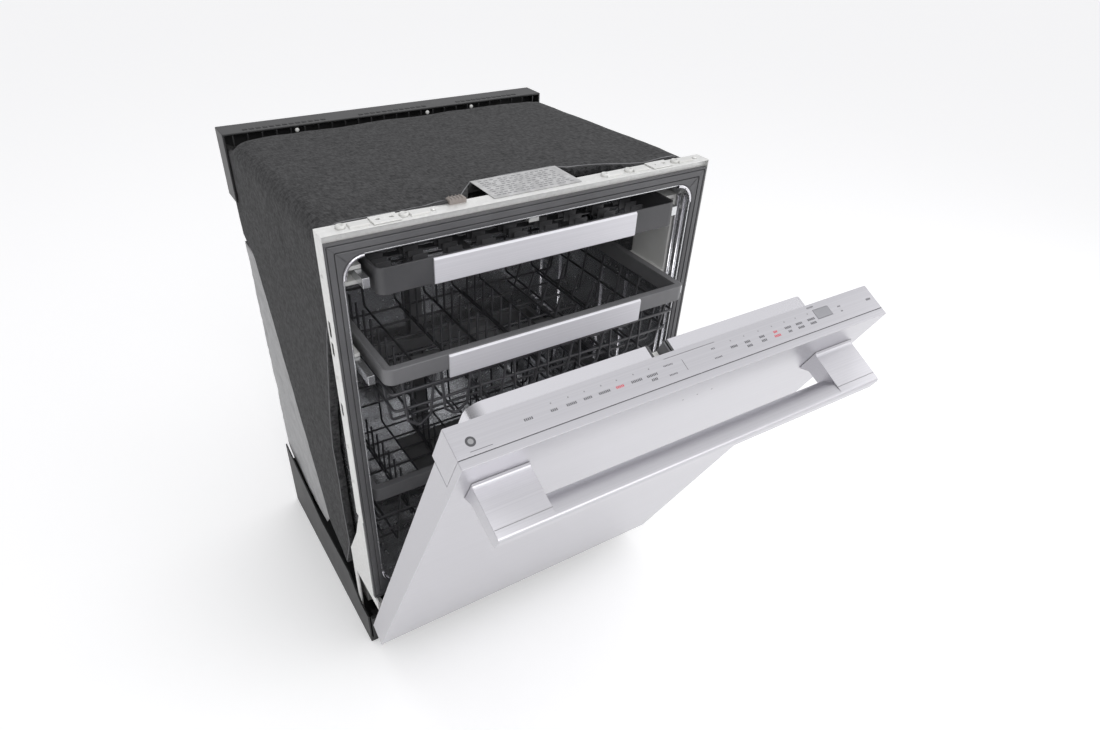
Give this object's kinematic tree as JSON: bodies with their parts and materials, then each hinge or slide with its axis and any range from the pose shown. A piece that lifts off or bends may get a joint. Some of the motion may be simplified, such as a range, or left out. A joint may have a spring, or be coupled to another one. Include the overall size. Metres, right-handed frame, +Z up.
{
  "type": "built-in dishwasher",
  "caption": "Built-in dishwasher with a stainless door, bar handle, hidden top controls, tub, racks, cutlery tray and spray arms.",
  "frame": {"origin": "floor level, centre of the width, on the underside of the base's front cross rail", "axes": "+Z up, front towards -Y, +X to the right seen from the front"},
  "size_m": [0.603, 0.9026, 0.8511],
  "materials": {
    "stainless_front": "fine horizontal brushing",
    "polished_tub": "bright drawn stainless steel",
    "galvanised": "galvanised sheet",
    "gasket_rubber": "matt moulded frame",
    "felt": "needled charcoal felt",
    "black_plastic": "satin moulding",
    "foil": "thin coated sheet",
    "grey_plastic": "satin moulding",
    "pale_plastic": "satin moulding",
    "rack_nylon": "nylon-coated wire",
    "display_glass": "smoked window"
  },
  "bodies": {
    "cabinet": {"tub": "polished_tub", "front_flange": "galvanised", "door_gasket": "gasket_rubber", "insulation_blanket": "felt", "rear_frame": "black_plastic", "rear_wrap": "foil", "base_frame": "black_plastic", "toe_plate": "black_plastic", "sump": "grey_plastic", "wash_pump": "black_plastic", "drain_pump": "black_plastic", "drain_hose": "black_plastic", "inlet_valve": "pale_plastic", "junction_box": "galvanised", "feed_pipe": "grey_plastic", "top_spray_nozzle": "grey_plastic", "latch_strike": "galvanised", "rating_plate": "foil", "hinge_bracket_left": "galvanised", "hinge_bracket_right": "galvanised", "worktop_bracket_left": "galvanised", "worktop_bracket_right": "galvanised", "rail_guide_left": "pale_plastic", "rail_guide_right": "pale_plastic"},
    "door": {"outer_panel": "stainless_front", "control_panel": "stainless_front", "display_window": "display_glass", "door_liner": "polished_tub", "handle": "stainless_front", "door_latch": "grey_plastic", "vent_grille": "grey_plastic", "dispenser": "grey_plastic", "hinge_arm_left": "galvanised", "hinge_arm_right": "galvanised"},
    "dispenser_lid": {"dispenser_lid": "pale_plastic"},
    "rinse_cap": {"rinse_cap": "pale_plastic"},
    "filter": {"filter": "rack_nylon"},
    "upper_rails": {"upper_rail_left": "stainless_front", "upper_rail_right": "stainless_front"},
    "tray_rails": {"tray_rail_left": "stainless_front", "tray_rail_right": "stainless_front"},
    "upper_rack": {"upper_rack_basket": "rack_nylon", "upper_rack_rim": "grey_plastic", "upper_rack_trim": "stainless_front"},
    "upper_tines": {"upper_rack_tines": "rack_nylon"},
    "upper_arm": {"upper_spray_arm": "grey_plastic"},
    "tray": {"cutlery_tray": "grey_plastic", "tray_trim": "stainless_front"},
    "lower_rack": {"lower_rack_basket": "rack_nylon", "lower_rack_rim": "grey_plastic"},
    "lower_tines": {"lower_rack_tines": "rack_nylon"},
    "lower_arm": {"lower_spray_arm": "grey_plastic"},
    "rack_wheel_front_left": {"rack_wheel_front_left": "grey_plastic"},
    "foot_front_left": {"levelling_foot_front_left": "black_plastic"},
    "rack_wheel_front_right": {"rack_wheel_front_right": "grey_plastic"},
    "foot_front_right": {"levelling_foot_front_right": "black_plastic"},
    "rack_wheel_rear_left": {"rack_wheel_rear_left": "grey_plastic"},
    "foot_rear_left": {"levelling_foot_rear_left": "black_plastic"},
    "rack_wheel_rear_right": {"rack_wheel_rear_right": "grey_plastic"},
    "foot_rear_right": {"levelling_foot_rear_right": "black_plastic"}
  },
  "joints": [
    {"name": "door_hinge", "type": "hinge", "parent": "cabinet", "child": "door", "pos_m": [0, -0.08, 0.172], "axis": [1, 0, 0], "range_deg": [-26.5, 63.5]},
    {"name": "upper_rails_slide", "type": "slide", "parent": "cabinet", "child": "upper_rails", "axis": [0, -1, 0], "range_m": [-0.0822, 0.1968]},
    {"name": "tray_rails_slide", "type": "slide", "parent": "cabinet", "child": "tray_rails", "axis": [0, -1, 0], "range_m": [-0.0482, 0.1153]},
    {"name": "upper_rack_slide", "type": "slide", "parent": "upper_rails", "child": "upper_rack", "axis": [0, -1, 0], "range_m": [0, 0.09]},
    {"name": "tray_slide", "type": "slide", "parent": "tray_rails", "child": "tray", "axis": [0, -1, 0], "range_m": [0, 0.2]},
    {"name": "lower_rack_slide", "type": "slide", "parent": "cabinet", "child": "lower_rack", "axis": [0, -1, 0], "range_m": [0, 0.06]},
    {"name": "dispenser_lid_hinge", "type": "hinge", "parent": "door", "child": "dispenser_lid", "pos_m": [0, -0.17603, 0.43476], "axis": [-1, 0, 0], "range_deg": [0, 100]},
    {"name": "rinse_cap_turn", "type": "hinge", "parent": "door", "child": "rinse_cap", "pos_m": [0.066, -0.19861, 0.47937], "axis": [0, 0.8949, 0.4462], "range_deg": [0, 90]},
    {"name": "filter_turn", "type": "hinge", "parent": "cabinet", "child": "filter", "pos_m": [0, 0.252, 0.186], "axis": [0, 0, 1], "range_deg": [0, 90]},
    {"name": "upper_arm_spin", "type": "hinge", "parent": "upper_rack", "child": "upper_arm", "pos_m": [0, 0.073, 0.53], "axis": [0, 0, 1], "continuous": true},
    {"name": "lower_arm_spin", "type": "hinge", "parent": "cabinet", "child": "lower_arm", "pos_m": [0, 0.155, 0.2], "axis": [0, 0, 1], "continuous": true},
    {"name": "upper_tines_fold", "type": "hinge", "parent": "upper_rack", "child": "upper_tines", "pos_m": [-0.096, 0.073, 0.562], "axis": [0, -1, 0], "range_deg": [0, 75]},
    {"name": "lower_tines_fold", "type": "hinge", "parent": "lower_rack", "child": "lower_tines", "pos_m": [0.08, 0.173, 0.228], "axis": [0, 1, 0], "range_deg": [0, 75]},
    {"name": "rack_wheel_front_left_roll", "type": "hinge", "parent": "lower_rack", "child": "rack_wheel_front_left", "pos_m": [-0.2415, 0.05, 0.1983], "axis": [1, 0, 0], "range_deg": [-1, 216]},
    {"name": "rack_wheel_front_right_roll", "type": "hinge", "parent": "lower_rack", "child": "rack_wheel_front_right", "pos_m": [0.2415, 0.05, 0.1983], "axis": [1, 0, 0], "range_deg": [-1, 216]},
    {"name": "rack_wheel_rear_left_roll", "type": "hinge", "parent": "lower_rack", "child": "rack_wheel_rear_left", "pos_m": [-0.2415, 0.296, 0.1983], "axis": [1, 0, 0], "range_deg": [-1, 216]},
    {"name": "rack_wheel_rear_right_roll", "type": "hinge", "parent": "lower_rack", "child": "rack_wheel_rear_right", "pos_m": [0.2415, 0.296, 0.1983], "axis": [1, 0, 0], "range_deg": [-1, 216]},
    {"name": "foot_front_left_adjust", "type": "slide", "parent": "cabinet", "child": "foot_front_left", "axis": [0, 0, -1], "range_m": [0, 0.05]},
    {"name": "foot_front_right_adjust", "type": "slide", "parent": "cabinet", "child": "foot_front_right", "axis": [0, 0, -1], "range_m": [0, 0.05]},
    {"name": "foot_rear_left_adjust", "type": "slide", "parent": "cabinet", "child": "foot_rear_left", "axis": [0, 0, -1], "range_m": [0, 0.05]},
    {"name": "foot_rear_right_adjust", "type": "slide", "parent": "cabinet", "child": "foot_rear_right", "axis": [0, 0, -1], "range_m": [0, 0.05]}
  ],
  "couplings": [
    {"joint": "upper_rails_slide", "follows": "door_hinge", "m_per_rad": 0.17729},
    {"joint": "tray_rails_slide", "follows": "door_hinge", "m_per_rad": 0.10378},
    {"joint": "rack_wheel_front_left_roll", "follows": "lower_rack_slide", "rad_per_m": 62.5},
    {"joint": "rack_wheel_front_right_roll", "follows": "lower_rack_slide", "rad_per_m": 62.5},
    {"joint": "rack_wheel_rear_left_roll", "follows": "lower_rack_slide", "rad_per_m": 62.5},
    {"joint": "rack_wheel_rear_right_roll", "follows": "lower_rack_slide", "rad_per_m": 62.5}
  ]
}
